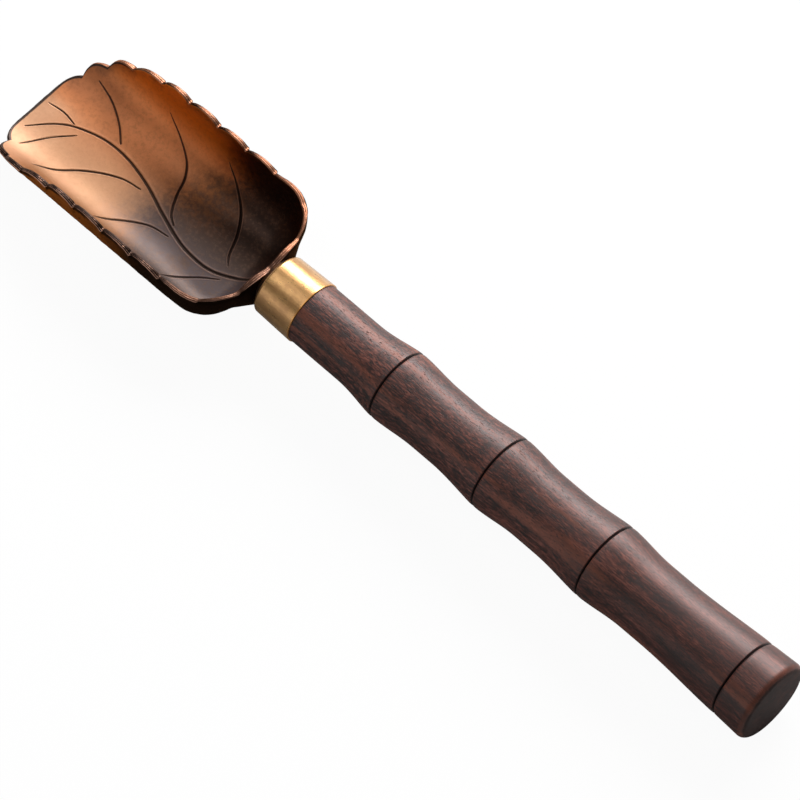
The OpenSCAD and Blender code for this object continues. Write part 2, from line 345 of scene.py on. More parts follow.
def half_of_bowl(far):
    """Rows of points over half of the bowl, up the outside, over the rim and down the inside, and
    values for each point: side, way from the edge, way along its scallop, place in the sheet."""
    lobe_steps, lip_steps = 20, 32
    inner_rows, outer_rows, rim_rows = 46, 24, 12
    inner_floor_rows, outer_floor_rows = 12, 4
    rim_round, rim_line_h = 0.2 * mm, 0.035 * mm
    crown_power, crown_fullness = 4, 0.4
    thick_share, thin_share = 0.25, 0.45 if far else 0.25
    back_thick_share, back_thin_share = -0.12, 0.4
    edge_reach = 2.4 * mm
    spine_share, row_power = 0.7, 1.12
    edge, chord, along = leaf_edge(lobe_steps, lip_steps, far)
    past_back = ease(np.clip((chord[:, 0] - straight_back) / corner_l, 0, 1))
    thicker = mix(mix(back_thick_share, thick_share, past_back),
                  -mix(back_thin_share, thin_share, past_back), along)
    thicker[-lip_steps - 1:] = 0
    start = (rim_round / (np.linalg.norm(edge - chord, axis=1) + wall_l))[:, None, None]
    foot_x = leaf_skin(edge, chord, np.array([1.0]))[1][:, 0, 0]
    along_foot = (foot_x - foot_x[0]) / (foot_x[-1] - foot_x[0])
    follow = mix(np.linspace(0, 1, len(edge)), along_foot, spine_share)
    spine_x = mix(corner_x + corner_r / 4, lip_x - 2 * lip_inset, follow)

    def rows_of(count, floor_rows, outside):
        shares = np.linspace(0, 1, count + 1) ** row_power
        sheet, place, way = leaf_skin(edge, chord, shares)
        if outside:
            from_edge = np.linalg.norm(sheet - edge[:, None], axis=-1)
            near_edge = 1 - ease(np.clip(from_edge / edge_reach, 0, 1))
            place = place + way * (wall * (1 + thicker[:, None] * near_edge))[..., None]
        first = np.minimum(1, start / shares[1])
        sheet[:, :1] = mix(sheet[:, :1], sheet[:, 1:2], first)
        place[:, :1] = mix(place[:, :1], place[:, 1:2], first)
        spine_z = np.full_like(spine_x, 0 if outside else wall)
        spine = np.stack([spine_x, np.zeros_like(spine_x), spine_z], -1)
        floor_shares = np.linspace(0, 1, floor_rows + 1)[1:]
        flat = mix(place[:, -1:], spine[:, None], floor_shares[None, :, None])
        sheet = np.concatenate([sheet, np.full(flat.shape[:2] + (2,), -1.0)], 1)
        rows = np.concatenate([place, flat], 1)
        return (seated(rows), sheet) if outside else (rows, sheet)

    inside, sheet = rows_of(inner_rows, inner_floor_rows, False)
    outside, _ = rows_of(outer_rows, outer_floor_rows, True)
    _, tip, way = leaf_skin(edge, chord, np.array([0.0]))
    tip = (tip + way * wall / 2)[:, 0]
    middle = (inside[:, 0] + outside[:, 0]) / 2
    up = (tip - middle) / np.linalg.norm(tip - middle, axis=-1, keepdims=True)
    t = (np.arange(1, rim_rows) / rim_rows)[None, :, None]
    lines = rim_line_h * np.cos(2 * math.pi * rim_lines * t)
    crown = rim_round * (1 - np.abs(2 * t - 1) ** crown_power) ** crown_fullness + lines
    band = mix(outside[:, :1], inside[:, :1], t) + up[:, None] * crown
    places = np.concatenate([outside[:, ::-1], band, inside], 1)
    side = np.concatenate([np.zeros(outside.shape[1]), t[0, :, 0], np.ones(inside.shape[1])])
    values = {
        "inner_side": np.tile(side, (len(edge), 1)),
        "from_edge": np.linalg.norm(places - tip[:, None], axis=-1),
        "along": np.tile(along[:, None], (1, places.shape[1])),
    }
    blank = np.full((len(edge), places.shape[1] - inside.shape[1], 2), -1.0)
    sheet = np.concatenate([blank, sheet], 1)
    values["sheet_s"], values["sheet_w"] = sheet[..., 0], sheet[..., 1]
    return places, values


def bowl_mesh():
    (near_places, near_values), (far_places, far_values) = half_of_bowl(False), half_of_bowl(True)
    columns, rows = near_places.shape[:2]
    points = np.concatenate([near_places.reshape(-1, 3), far_places.reshape(-1, 3) * (1, -1, 1)])
    faces = []
    for far in (False, True):
        start = columns * rows if far else 0
        index = np.arange(columns * rows).reshape(columns, rows) + start
        quads = np.stack([index[:-1, :-1], index[:-1, 1:], index[1:, 1:], index[1:, :-1]], -1)
        quads = quads.reshape(-1, 4)
        faces += (quads[:, ::-1] if far else quads).tolist()
    mesh = bpy.data.meshes.new("scoop_bowl")
    mesh.from_pydata(points.tolist(), [], faces)
    for name in near_values:
        value = np.concatenate([near_values[name].ravel(), far_values[name].ravel()])
        attribute = mesh.attributes.new(name, "FLOAT", "POINT")
        attribute.data.foreach_set("value", value.astype(np.float32))
    return mesh


# The middle vein and its branches, as points in plan from the stem outwards, in millimetres, each
# with its share of the full width at the stem, at the tip and between.
vein_steps = 12
veins = [
    ([(35.2, -0.3), (36.6, 0.2), (38.4, 1.1), (40.3, 2.1), (42.6, 3), (45.6, 3.4), (50.8, 2.9),
      (57.6, 0.7), (63.7, -1.6), (69.8, -3), (75.6, -3), (81.3, -1.3), (84.8, 1),
      (88.3, 4.9)], 0.95, 0.4, 1),
    ([(41.3, 0.4), (42.8, -1.5), (44.6, -5.4), (47.2, -9), (50.7, -11.6),
      (54.1, -13.2)], 0.3, 0.35, 0.8),
    ([(54.3, 1.1), (56.3, -0.4), (58.3, -3.9), (59.5, -7.1), (61.5, -9.6), (65.1, -11.7),
      (69, -13.2)], 0.6, 0.35, 0.8),
    ([(73.1, -4.4), (76.1, -7), (80.1, -9.2), (84.5, -10.4)], 0.7, 0.5, 0.7),
    ([(82.1, -1.5), (85.3, -1.95), (88.7, -1.5)], 0.5, 0.35, 0.65),
    ([(80.1, -0.1), (83.4, 3.7), (86.1, 8.4)], 0.5, 0.35, 0.65),
    ([(63.9, -0.1), (67.4, 0.5), (71, 2.2), (74.5, 4.7), (77.7, 7.9),
      (81.1, 10.1)], 0.6, 0.35, 0.8),
    ([(53.4, 3.4), (57.2, 4.1), (60.6, 6.1), (63.8, 8.9), (65.4, 10.1)], 0.5, 0.35, 0.75),
    ([(40.5, 3.3), (43.5, 5.6), (46.7, 8.8), (48.3, 10.3)], 0.4, 0.35, 0.7),
]


def smooth_path(points):
    """Points in metres along a curve through the given ones."""
    points = np.array(points, float) * mm
    padded = np.concatenate([[2 * points[0] - points[1]], points, [2 * points[-1] - points[-2]]])
    path = []
    for before, a, b, after in zip(padded, padded[1:], padded[2:], padded[3:]):
        for t in np.arange(vein_steps) / vein_steps:
            path.append(0.5 * (2 * a + (b - before) * t
                               + (2 * before - 5 * a + 4 * b - after) * t ** 2
                               + (3 * a - before - 3 * b + after) * t ** 3))
    return np.array(path + [points[-1]])


def vein_curves():
    curve = bpy.data.curves.new("veins", "CURVE")
    curve.dimensions = "3D"
    for points, stem_share, tip_share, middle_share in veins:
        path = smooth_path(points)
        t = np.linspace(0, 1, len(path))
        width = mix(mix(stem_share, tip_share, t), middle_share, np.sin(math.pi * t) ** 0.6)
        spline = curve.splines.new("POLY")
        spline.points.add(len(path) - 1)
        for point, (x, y), share in zip(spline.points, path, width):
            point.co = (x, y, rim_h, 1)
            point.radius = share
    holder = bpy.data.objects.new("veins", curve)
    bpy.context.scene.collection.objects.link(holder)
    return holder


def refine_near_veins(mesh, reach, longest):
    """Shorter edges on the inner side along the veins, laid on the true surface of the wall."""
    rounds, batch, fully_inner = 5, 4000, 0.99
    weld, same_place = 0.001 * mm, 0.1 * mm
    lines = np.concatenate([smooth_path(points) for points, *_ in veins])
    work = bmesh.new()
    work.from_mesh(mesh)
    bmesh.ops.remove_doubles(work, verts=work.verts, dist=weld)
    layers = work.verts.layers.float
    side, along, down = layers["inner_side"], layers["sheet_s"], layers["sheet_w"]
    for _ in range(rounds):
        old = set(work.verts)
        inner = [face for face in work.faces
                 if min(vert[side] for vert in face.verts) > fully_inner]
        centres = np.array([face.calc_center_median()[:2] for face in inner])
        sizes = np.array([max(edge.calc_length() for edge in face.edges) for face in inner]) / 2
        near = []
        for start in range(0, len(inner), batch):
            part = slice(start, start + batch)
            gap = np.linalg.norm(centres[part, None] - lines[None], axis=-1).min(1)
            near += [inner[start + i] for i in np.nonzero(gap < reach + sizes[part])[0]]
        long_edges = {edge for face in near for edge in face.edges if edge.calc_length() > longest}
        bmesh.ops.subdivide_edges(work, edges=list(long_edges), cuts=1, use_grid_fill=True)
        fresh = [vert for vert in work.verts if vert not in old and vert[down] > 0]
        places, _ = pan(np.array([vert[along] for vert in fresh]),
                        np.array([vert[down] for vert in fresh]))
        for vert, place in zip(fresh, places):
            if np.hypot(vert.co.x - place[0], abs(vert.co.y) - place[1]) < same_place:
                vert.co = (place[0], math.copysign(place[1], vert.co.y), place[2])
    bmesh.ops.triangulate(work, faces=[face for face in work.faces if len(face.verts) > 4])
    work.to_mesh(mesh)
    work.free()


def tree_input(tree, name, kind):
    """Adds a named input to a tree and returns the identifier by which a modifier sets it."""
    return tree.interface.new_socket(name, in_out="INPUT", socket_type=kind).identifier


def engraving_tree():
    """Cuts a groove along curves laid on a skin, and roughens the skin as a sand casting is."""
    path_step, burr_h = 0.06 * mm, 0.025 * mm
    tree = bpy.data.node_groups.new("engraved_casting", "GeometryNodeTree")
    tree.interface.new_socket("Geometry", in_out="OUTPUT", socket_type="NodeSocketGeometry")
    names = {
        "Geometry": tree_input(tree, "Geometry", "NodeSocketGeometry"),
        "Veins": tree_input(tree, "Veins", "NodeSocketObject"),
        "Groove Width": tree_input(tree, "Groove Width", "NodeSocketFloat"),
        "Groove Depth": tree_input(tree, "Groove Depth", "NodeSocketFloat"),
        "Roughness": tree_input(tree, "Roughness", "NodeSocketFloat"),
        "Material": tree_input(tree, "Material", "NodeSocketMaterial"),
    }
    graph = Graph(tree)
    given = graph.add("NodeGroupInput")
    skin = given.beside("Geometry")
    curves = graph.add("GeometryNodeObjectInfo", {}, {"Object": given.beside("Veins")},
                       out="Geometry")
    points = graph.add("GeometryNodeCurveToPoints", {"mode": "LENGTH"},
                       {"Curve": curves, "Length": path_step})
    here = graph.add("GeometryNodeInputPosition")
    fallen = graph.add("GeometryNodeRaycast", {"data_type": "FLOAT"},
                       {"Target Geometry": skin, "Source Position": here,
                        "Ray Direction": (0, 0, -1), "Ray Length": 30 * mm}, out="Hit Position")
    laid = graph.add("GeometryNodeSetPosition", {}, {"Geometry": points, "Position": fallen})
    index = graph.add("GeometryNodeSampleNearest", {"domain": "POINT"},
                      {"Geometry": laid, "Sample Position": here})
    place = graph.add("GeometryNodeSampleIndex", {"data_type": "FLOAT_VECTOR", "domain": "POINT"},
                      {"Geometry": laid, "Value": here, "Index": index})
    radius = graph.add("GeometryNodeInputRadius")
    share = graph.add("GeometryNodeSampleIndex", {"data_type": "FLOAT", "domain": "POINT"},
                      {"Geometry": laid, "Value": radius, "Index": index})
    gap = graph.add("ShaderNodeVectorMath", {"operation": "DISTANCE"}, {0: place, 1: here},
                    out="Value")
    reach = given.beside("Groove Width") * share * 0.5
    away = gap / reach
    groove = 1 - graph.rise(away, 0, 1)
    burr = graph.rise(away, 0.7, 1.15) * (1 - graph.rise(away, 1.15, 2.1))
    settings = {"data_type": "FLOAT"}
    side, tip = (graph.add("GeometryNodeInputNamedAttribute", settings, {"Name": name})
                 for name in ("inner_side", "from_edge"))
    inside = graph.rise(side, 0.95, 1)
    cut = (groove * given.beside("Groove Depth") - burr * burr_h) * share * inside
    coarse = graph.noise(here, 900, 3, 0.6) - 0.5
    dents = graph.noise(here, 330, 1, 0.5) - 0.5
    near_rim = 1 - graph.rise(tip, 0.2 * mm, 1.1 * mm)
    rough = graph.math("MAXIMUM", 1 - inside * 0.9, near_rim * 0.8)
    moved = (coarse * 1.3 + dents) * given.beside("Roughness") * rough - cut
    normal = graph.add("GeometryNodeInputNormal")
    offset = graph.add("ShaderNodeVectorMath", {"operation": "SCALE"}, {0: normal, "Scale": moved})
    shaped = graph.add("GeometryNodeSetPosition", {}, {"Geometry": skin, "Offset": offset})
    lines = (groove - burr * 0.5) * inside
    kept = graph.add("GeometryNodeStoreNamedAttribute", {"data_type": "FLOAT", "domain": "POINT"},
                     {"Geometry": shaped, "Name": "groove", "Value": lines})
    smooth = graph.add("GeometryNodeSetShadeSmooth", {}, {"Geometry": kept})
    real = graph.add("GeometryNodeRealizeInstances", {}, {"Geometry": smooth})
    done = graph.add("GeometryNodeSetMaterial", {},
                     {"Geometry": real, "Material": given.beside("Material")})
    graph.add("NodeGroupOutput", {}, {"Geometry": done})
    return tree, names


def made_by(tree, names, name, mesh, values):
    """Runs a modifier's tree on a mesh and returns the result as a plain object."""
    holder = bpy.data.objects.new(name, mesh)
    bpy.context.scene.collection.objects.link(holder)
    modifier = holder.modifiers.new(name, "NODES")
    modifier.node_group = tree
    for label, value in values.items():
        modifier[names[label]] = value
    bpy.context.view_layer.update()
    evaluated = holder.evaluated_get(bpy.context.evaluated_depsgraph_get())
    result = bpy.data.meshes.new_from_object(evaluated)
    holder.modifiers.clear()
    holder.data = result
    result.name = name
    return holder


def bronze_material():
    """Copper at the lip, patina at the back, rust outside, and a dark rim with bright lines."""
    material, graph = new_material("aged_copper")
    place = object_place(graph)
    x, y, z = graph.split(place)
    side, tip, groove, along = (
        graph.add("ShaderNodeAttribute", {"attribute_name": name}, out="Fac")
        for name in ("inner_side", "from_edge", "groove", "along"))
    cloud = graph.noise(place, 110, 4, 0.6)
    mottle = graph.noise(place, 950, 4, 0.7)
    streak = graph.noise(place, 1300, 3, 0.7)
    inner = graph.rise(side, 0.9, 1)
    far_wall = graph.rise(-y, 5 * mm, 13 * mm) * graph.rise(z, 1.5 * mm, 9 * mm)
    far_floor = graph.rise(-y, -1 * mm, 6 * mm)

    # Copper, paler on the near side, orange on the far side and dull in clouds. The pale patch at
    # the lip is a painted highlight. The brighter orange on the far side is painted light laid over
    # the far wall's shadow, and the deep orange up the far wall is partly painted shade and
    # thrown-back light.
    dull = (graph.rise(cloud, 0.35, 0.65) * 0.22
            + graph.rise(x, 74 * mm, 88 * mm) * graph.rise(-y, 2 * mm, 8 * mm) * 0.72)
    copper = graph.layered(
        (0.55, 0.192, 0.066, 1),
        (graph.rise(y, -7 * mm, 5 * mm), (0.51, 0.27, 0.14, 1)),
        (graph.rise(y, 3 * mm, 12 * mm), (0.165, 0.062, 0.013, 1)),
        # Painted highlight: the lip is lighter where the light's reflection spreads onto it.
        (graph.rise(x, 79 * mm, 88 * mm) * graph.rise(y, -6 * mm, 0), (0.53, 0.28, 0.155, 1)),
        # Painted light: brighter copper on the far side, which lifts the far wall's shadow.
        (graph.rise(-y, 2 * mm, 9 * mm), (0.80, 0.28, 0.10, 1)),
        (dull, (0.31, 0.105, 0.042, 1)),
        # Partly painted shade: the far wall's deep orange stands for its shade and the copper light
        # thrown onto it.
        (far_wall, (0.60, 0.17, 0.012, 1)))

    # Patina, greyer on the near side, where the grey is a painted sheen, with brown clouds and
    # specks on the far one.
    brown = (graph.rise(x, 43 * mm, 57 * mm) * far_floor
             * (0.35 + graph.rise(mottle, 0.42, 0.62) * 0.65))
    patina = graph.layered(
        (0.034, 0.019, 0.015, 1),
        (graph.rise(y, -3 * mm, 7 * mm), (0.070, 0.057, 0.064, 1)),
        (graph.rise(y, 6 * mm, 11 * mm) * 0.8, (0.022, 0.017, 0.016, 1)),
        (graph.rise(cloud, 0.52, 0.68) * 0.5, (0.070, 0.032, 0.018, 1)),
        (graph.rise(streak, 0.48, 0.66) * 0.45, (0.10, 0.060, 0.042, 1)),
        (brown, (0.17, 0.060, 0.020, 1)))

    # They meet on a ragged slanting line. Grime lies over both, with painted shade in patches just
    # inside the rim on the far side, and a dark line along the lip.
    up_the_sides = (graph.rise(y, 6 * mm, 11 * mm) * (5 * mm)
                    + graph.rise(-y, 7 * mm, 13 * mm) * (6 * mm))
    ragged = (cloud - 0.5) * (10 * mm) + (mottle - 0.5) * (7 * mm)
    bright = graph.rise(x - y * 0.12 + up_the_sides + ragged, 54.5 * mm, 68.5 * mm)
    grime_and_rim_shade = (graph.rise(streak * 0.6 + mottle * 0.4, 0.44, 0.66) * (0.1 + far_floor * 0.14)
             # Painted shade: darker patches within a few millimetres of the rim on the far side.
             + (1 - graph.rise(tip, 0.5 * mm, 3 * mm)) * graph.rise(cloud, 0.4, 0.55)
             * far_floor * 0.5)
    lip_line = (1 - graph.rise(tip, 0.58 * mm, 0.75 * mm)) * graph.rise(x, 78 * mm, 82 * mm)
    face = graph.layered(
        patina,
        (bright, copper),
        (grime_and_rim_shade, (0.085, 0.030, 0.012, 1)),
        (lip_line, (0.010, 0.006, 0.006, 1)))

    # Outside, rust towards the lip, in patches, with painted shade low down and under the scallops.
    # Painted shade: darker towards the floor, and under the thin end of each scallop.
    shade_low_and_under_scallops = graph.math("MAXIMUM", 1 - graph.rise(z, 1.5 * mm, 5 * mm),
                      (1 - graph.rise(tip, 1.1 * mm, 1.7 * mm)) * graph.rise(along, 0.2, 0.6))
    rust = graph.layered(
        (0.012, 0.005, 0.003, 1),
        (graph.rise(x + (cloud - 0.5) * (20 * mm), 47 * mm, 66 * mm), (0.42, 0.125, 0.017, 1)),
        (graph.rise(mottle, 0.5, 0.7) * 0.6, (0.018, 0.008, 0.004, 1)),
        (shade_low_and_under_scallops * 0.9, (0.009, 0.004, 0.002, 1)))

    # The rim is dark with bright lines on the near side, and copper with a dark outline on the far.
    # Light and shade are painted on it: each scallop's thick end is painted lit and its thin end is
    # painted dark as shade, and the far side's copper is partly a painted reflection.
    on_rim = graph.rise(side, 0.01, 0.07) * (1 - graph.rise(side, 0.93, 0.99))
    behind = 1 - graph.rise(x, 38 * mm, 47 * mm)
    far = graph.rise(-y, 0, 6 * mm)
    open_side = graph.math("MAXIMUM", behind * 0.35, far)
    # Painted light at the thick end of each scallop and painted shade at its thin end.
    lit = ((1 - graph.rise(along, 0.35, 0.85) * (1 - behind * 0.6))
           * (1 - graph.rise(x, 78 * mm, 84 * mm) * (1 - far) * 0.6))
    ridge = graph.math("COSINE", side * (2 * math.pi * rim_lines)) * 0.5 + (streak - 0.5) * 1.2
    shown = (0.4 + lit * 0.6) * (1 - behind * 0.45) * (1 - far * 0.5)
    near_outline = ((1 - graph.rise(side, 0.09, 0.15)) * (1 - open_side)
                    * (1 - graph.rise(along, 0.75, 0.95)))
    rim = graph.layered(
        (0.014, 0.007, 0.006, 1),
        (open_side * lit, (0.21, 0.085, 0.046, 1)),
        (far * lit * (0.75 - behind * 0.5), (0.35, 0.15, 0.085, 1)),
        (graph.rise(ridge - (1 - far) * 0.2, 0.15, 0.5) * shown, (0.66, 0.35, 0.24, 1)),
        (near_outline, (0.72, 0.40, 0.29, 1)),
        ((1 - graph.rise(side, 0.08, 0.2)) * far, (0.012, 0.007, 0.006, 1)))

    cut = graph.rise(groove, 0.02, 0.3)
    colour = graph.layered(
        rust,
        (inner, face),
        (cut * 0.93, (0.014, 0.007, 0.005, 1)),
        # Partly painted highlight: pale copper on the burr beside each vein, stronger in the
        # patina.
        (graph.rise(-groove, 0.15, 0.5) * (0.22 - bright * 0.12), (0.36, 0.18, 0.12, 1)),
        (on_rim, rim))
    graph.surface({
        "Base Color": colour,
        "Metallic": (0.2 + far_wall * 0.45 + (1 - bright) * far_floor * 0.5
                     + (1 - inner) * (0.7 - on_rim * 0.3)),
        "Roughness": 0.44 + (1 - inner) * (1 - on_rim) * 0.3 + (mottle - 0.5) * 0.15 + cut * 0.25,
        "Specular Tint": (1, 0.7, 0.55, 1), "Normal": graph.bump(0.35, 0.03 * mm, mottle + streak)})
    return material


bowl_base = bowl_mesh()
refine_near_veins(bowl_base, reach=0.55 * mm, longest=0.14 * mm)
vein_lines = vein_curves()
engraving, engraving_names = engraving_tree()
scoop_bowl = made_by(engraving, engraving_names, "leaf_bowl", bowl_base, {
    "Veins": vein_lines, "Groove Width": 0.76 * mm, "Groove Depth": 0.26 * mm,
    "Roughness": 0.14 * mm, "Material": bronze_material()})
bpy.data.objects.remove(vein_lines)
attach(scoop_bowl, "root")
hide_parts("scoop_bowl")

# The neck collar: a short waisted ring of dark bronze, brazed to the bowl's seat, on which the
# closed end of the ferrule bears. It is turned on the handle's axis, as the pieces behind it are,
# which rises slightly to the bowl, because the bowl and the butt both rest on the table.
handle_l = 110.3 * mm
butt_r = 8.05 * mm
butt_edge_r = 0.8 * mm
ferrule_l = 8.8 * mm
rod_bore_r = 2.06 * mm
shoulder_x = (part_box("handle")[0].x + handle_l * math.cos(rise)
              + (butt_r - butt_edge_r) * math.sin(rise))
shoulder_z = butt_r * math.cos(rise) + (handle_l - butt_edge_r) * math.sin(rise)


def lathe_tree():
    """Turns a profile, drawn as length and radius, about the X axis and sets it on its axis."""
    weld, sharp_fold = 0.001 * mm, math.radians(35)
    tree = bpy.data.node_groups.new("lathe", "GeometryNodeTree")
    tree.interface.new_socket("Geometry", in_out="OUTPUT", socket_type="NodeSocketGeometry")
    names = {
        "Geometry": tree_input(tree, "Geometry", "NodeSocketGeometry"),
        "Sides": tree_input(tree, "Sides", "NodeSocketInt"),
        "Wobble": tree_input(tree, "Wobble", "NodeSocketFloat"),
        "Wobble Scale": tree_input(tree, "Wobble Scale", "NodeSocketFloat"),
        "Centre": tree_input(tree, "Centre", "NodeSocketVector"),
        "Turn": tree_input(tree, "Turn", "NodeSocketVector"),
        "Material": tree_input(tree, "Material", "NodeSocketMaterial"),
    }
    graph = Graph(tree)
    given = graph.add("NodeGroupInput")
    profile, sides = given.beside("Geometry"), given.beside("Sides")
    count = graph.add("GeometryNodeAttributeDomainSize", {"component": "MESH"}, {0: profile})
    grid = graph.add("GeometryNodeMeshGrid", {}, {"Vertices X": sides + 1, "Vertices Y": count})
    index = graph.add("GeometryNodeInputIndex")
    row, column = index % count, graph.math("FLOOR", index / count)
    here = graph.add("GeometryNodeInputPosition")
    drawn = graph.add("GeometryNodeSampleIndex", {"data_type": "FLOAT_VECTOR", "domain": "POINT"},
                      {"Geometry": profile, "Value": here, "Index": row})
    length, _, radius = graph.split(drawn)
    angle = column / sides * (2 * math.pi)
    across, up = graph.math("SINE", angle), graph.math("COSINE", angle)
    around = graph.add("ShaderNodeCombineXYZ", {}, {0: length, 1: across * radius, 2: up * radius})
    turned = graph.add("GeometryNodeSetPosition", {}, {"Geometry": grid, "Position": around})
    merged = graph.add("GeometryNodeMergeByDistance", {}, {"Geometry": turned, "Distance": weld})
    wave = (graph.noise(here, given.beside("Wobble Scale"), 2) - 0.5) * given.beside("Wobble")
    normal = graph.add("GeometryNodeInputNormal")
    offset = graph.add("ShaderNodeVectorMath", {"operation": "SCALE"}, {0: normal, "Scale": wave})
    worked = graph.add("GeometryNodeSetPosition", {}, {"Geometry": merged, "Offset": offset})
    placed = graph.add("GeometryNodeTransform", {}, {
        "Geometry": worked,
        "Translation": given.beside("Centre"), "Rotation": given.beside("Turn")})
    smooth = graph.add("GeometryNodeSetShadeSmooth", {}, {"Geometry": placed})
    sharp = graph.add("GeometryNodeInputMeshEdgeAngle") > sharp_fold
    creased = graph.add("GeometryNodeSetShadeSmooth", {"domain": "EDGE"},
                        {"Geometry": smooth, "Selection": sharp, "Shade Smooth": False})
    real = graph.add("GeometryNodeRealizeInstances", {}, {"Geometry": creased})
    done = graph.add("GeometryNodeSetMaterial", {},
                     {"Geometry": real, "Material": given.beside("Material")})
    graph.add("NodeGroupOutput", {}, {"Geometry": done})
    return tree, names


lathe, lathe_names = lathe_tree()


def turned_piece(name, profile, material, sides, wobble, wobble_scale):
    """Profile points are lengths behind the ferrule's open end, towards the butt, and radii."""
    mesh = bpy.data.meshes.new(name)
    mesh.from_pydata([(-length, 0, radius) for length, radius in profile], [], [])
    return made_by(lathe, lathe_names, name, mesh, {
        "Sides": sides, "Wobble": wobble, "Wobble Scale": wobble_scale,
        "Centre": (shoulder_x, 0, shoulder_z), "Turn": (0, -rise, 0), "Material": material})


def collar_profile():
    collar_r, collar_l = 4.2 * mm, 1.1 * mm
    waist = 0.25 * mm
    steps = 12
    front, back = -ferrule_l - collar_l, -ferrule_l
    ring = [(mix(front, back, i / steps), collar_r - waist * math.sin(math.pi * i / steps))
            for i in range(steps + 1)]
    return [(front, rod_bore_r)] + ring + [(back, rod_bore_r), (front, rod_bore_r)]


def dark_bronze_material():
    material, graph = new_material("dark_bronze")
    place = object_place(graph)
    cloud = graph.noise(place, 500, 4, 0.65)
    fine = graph.noise(place, 3000, 3, 0.6)
    colour = graph.layered(
        (0.016, 0.009, 0.006, 1),
        (graph.rise(cloud, 0.35, 0.7), (0.10, 0.045, 0.018, 1)))
    graph.surface({
        "Base Color": colour, "Metallic": 0.6, "Roughness": 0.4 + cloud * 0.25,
        "Normal": graph.bump(0.4, 0.03 * mm, fine)})
    return material


neck_collar = turned_piece("neck_ring", collar_profile(), dark_bronze_material(),
                           sides=96, wobble=0.03 * mm, wobble_scale=700)
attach(neck_collar, "root")
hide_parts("neck_collar")


# The rod: plain brass, hidden inside ferrule and handle, brazed to the bowl and glued into the
# wood. Its shape, with the rings that hold the glue, is the CAD node's, under fine lathe marks.
def rod_material():
    material, graph = new_material("turned_brass")
    x, _, _ = graph.split(object_place(graph))
    marks = graph.noise(graph.add("ShaderNodeCombineXYZ", {}, {0: x * 9000}), 1, 2)
    colour = graph.layered((0.46, 0.30, 0.11, 1), (marks, (0.62, 0.43, 0.18, 1)))
    graph.surface({"Base Color": colour, "Metallic": 1, "Roughness": 0.25 + marks * 0.2})
    return material


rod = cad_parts["tang_rod"]
rod.data.materials.clear()
rod.data.materials.append(rod_material())


# The ferrule: a drawn brass cup with a rounded shoulder, brushed lengthwise, pressed over the
# handle's spigot. Its open end is cut square, with a painted highlight along its edge that shows as
# a thin golden line on the wood.
def arc(centre, radius, start, end, steps):
    """Points on a round edge, angles in degrees from the direction to the butt."""
    angles = [math.radians(mix(start, end, i / steps)) for i in range(steps + 1)]
    return [(centre[0] + radius * math.cos(a), centre[1] + radius * math.sin(a)) for a in angles]


def ferrule_profile():
    front_r, open_r = 6.1 * mm, 6.35 * mm
    shoulder_r, lip_r = 0.6 * mm, 0.12 * mm
    side_wall, end_wall = 0.45 * mm, 0.6 * mm
    steps = 24
    bore = front_r - side_wall
    shoulder = arc((-ferrule_l + shoulder_r, front_r - shoulder_r), shoulder_r, 180, 90, 14)
    body = [(mix(-ferrule_l + shoulder_r, -lip_r, i / steps), mix(front_r, open_r, i / steps))
            for i in range(1, steps)]
    mouth = arc((-lip_r, open_r - lip_r), lip_r, 90, 0, 5)
    inside = [(0, bore), (-ferrule_l + end_wall, bore), (-ferrule_l + end_wall, rod_bore_r)]
    front = [(-ferrule_l, rod_bore_r)]
    return front + shoulder + body + mouth + inside + front


def brass_material():
    """Brass with brushed lines along it, brown stains and a painted golden highlight on the open
    end.
    """
    material, graph = new_material("brushed_brass")
    place = object_place(graph)
    x, y, z = graph.split(place)
    brushed = graph.add("ShaderNodeCombineXYZ", {}, {0: x * 0.1, 1: y, 2: z})
    lines = graph.noise(brushed, 3400, 3, 0.6)
    broad = graph.noise(brushed, 420, 3, 0.55)
    stain = graph.noise(place, 700, 4, 0.65)
    edge = 1 - graph.rise(x, shoulder_x - 0.05 * mm, shoulder_x + 0.35 * mm)
    colour = graph.layered(
        (0.43, 0.225, 0.074, 1),
        (graph.rise(broad, 0.35, 0.65), (0.66, 0.375, 0.135, 1)),
        (graph.rise(stain, 0.42, 0.62) * 0.45, (0.34, 0.155, 0.05, 1)),
        # Painted highlight: golden line along the edge of the open end.
        (edge * 0.7, (0.66, 0.27, 0.035, 1)))
    graph.surface({
        "Base Color": colour, "Metallic": 0.75,
        "Roughness": 0.32 + (lines - 0.5) * 0.2 + (stain - 0.5) * 0.3,
        "Coat Weight": 0.6, "Coat Roughness": 0.28,
        "Normal": graph.bump(0.8, 0.02 * mm, lines + stain)})
    return material


ferrule = turned_piece("brass_ferrule", ferrule_profile(), brass_material(),
                       sides=128, wobble=0.015 * mm, wobble_scale=260)
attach(ferrule, "root")
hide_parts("ferrule")

# The handle: one piece of dark rosewood, turned like bamboo with four swelling nodes, each scored
# with a fine line, and oiled. A spigot enters the ferrule and a blind bore takes the rod.
node_at = [0, 20.8 * mm, 45.8 * mm, 70.8 * mm, 103.3 * mm]
node_d = [12.2 * mm, 14.3 * mm, 15 * mm, 15.3 * mm, 15.6 * mm]
waist_d = [12.2 * mm, 13.1 * mm, 13.7 * mm, 13.9 * mm]
fall_shares = [0.1, 0.38, 0.38, 0.3]
rise_shares = [0.46, 0.44, 0.44, 0.58]


def wood_radius(i, t):
    """Radius in segment i, at a share t of its length: a waist between two swelling nodes."""
    fall_power, rise_power = 1.9, 1.4

    def swell(share, power):
        return 0 if share >= 1 else 1 - math.sin(math.pi / 2 * share) ** power

    before = (node_d[i] - waist_d[i]) * swell(t / fall_shares[i], fall_power)
    after = (node_d[i + 1] - waist_d[i]) * swell((1 - t) / rise_shares[i], rise_power)
    return (waist_d[i] + before + after) / 2


